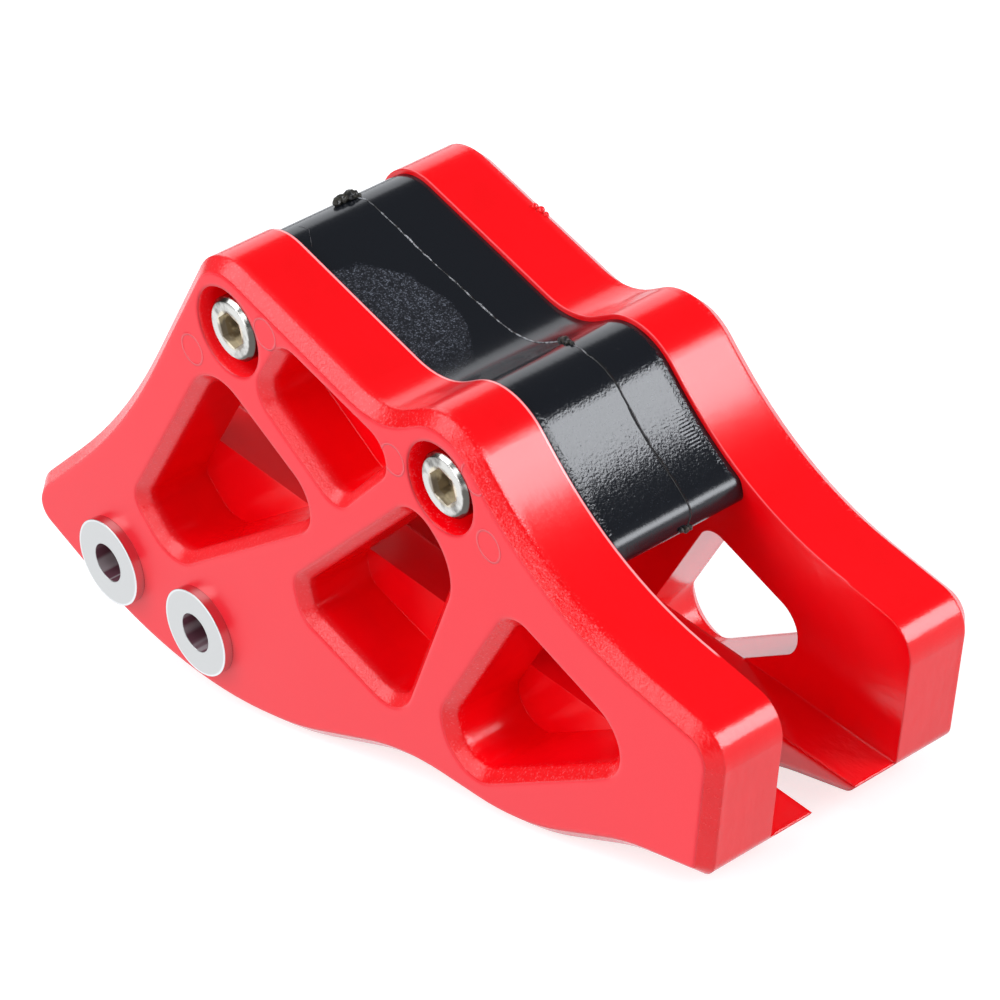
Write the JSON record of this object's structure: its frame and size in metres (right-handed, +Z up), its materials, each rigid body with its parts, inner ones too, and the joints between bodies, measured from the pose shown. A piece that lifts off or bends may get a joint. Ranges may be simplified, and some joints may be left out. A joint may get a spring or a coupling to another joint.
{
  "type": "motorcycle chain guide",
  "caption": "Two mirrored moulded half shells with triangular windows, clamped over a wear insert, that keep a drive chain on its sprocket and bolt to a swingarm bracket through flanged bushes.",
  "frame": {"origin": "on the front mounting bushes' axis, in the mid-plane between the two half shells", "axes": "+X along the chain's run from the mounting end to the nose, +Y across from the bolt heads' shell to the nuts' shell, +Z up with the guide standing on its two lower bulges"},
  "size_m": [0.1609, 0.0514, 0.0783],
  "materials": {
    "red_nylon": "glossy moulded red",
    "black_wear_block": "semi-gloss moulded black",
    "plated_steel": "bright plated",
    "bush_metal": "satin face"
  },
  "bodies": {
    "root": {"bolt_side_shell": "red_nylon", "nut_side_shell": "red_nylon", "wear_insert": "black_wear_block", "rear_bolt": "plated_steel", "front_bolt": "plated_steel", "rear_nut": "plated_steel", "front_nut": "plated_steel", "bolt_side_front_bush": "bush_metal", "bolt_side_rear_bush": "bush_metal", "nut_side_front_bush": "bush_metal", "nut_side_rear_bush": "bush_metal"}
  },
  "joints": []
}
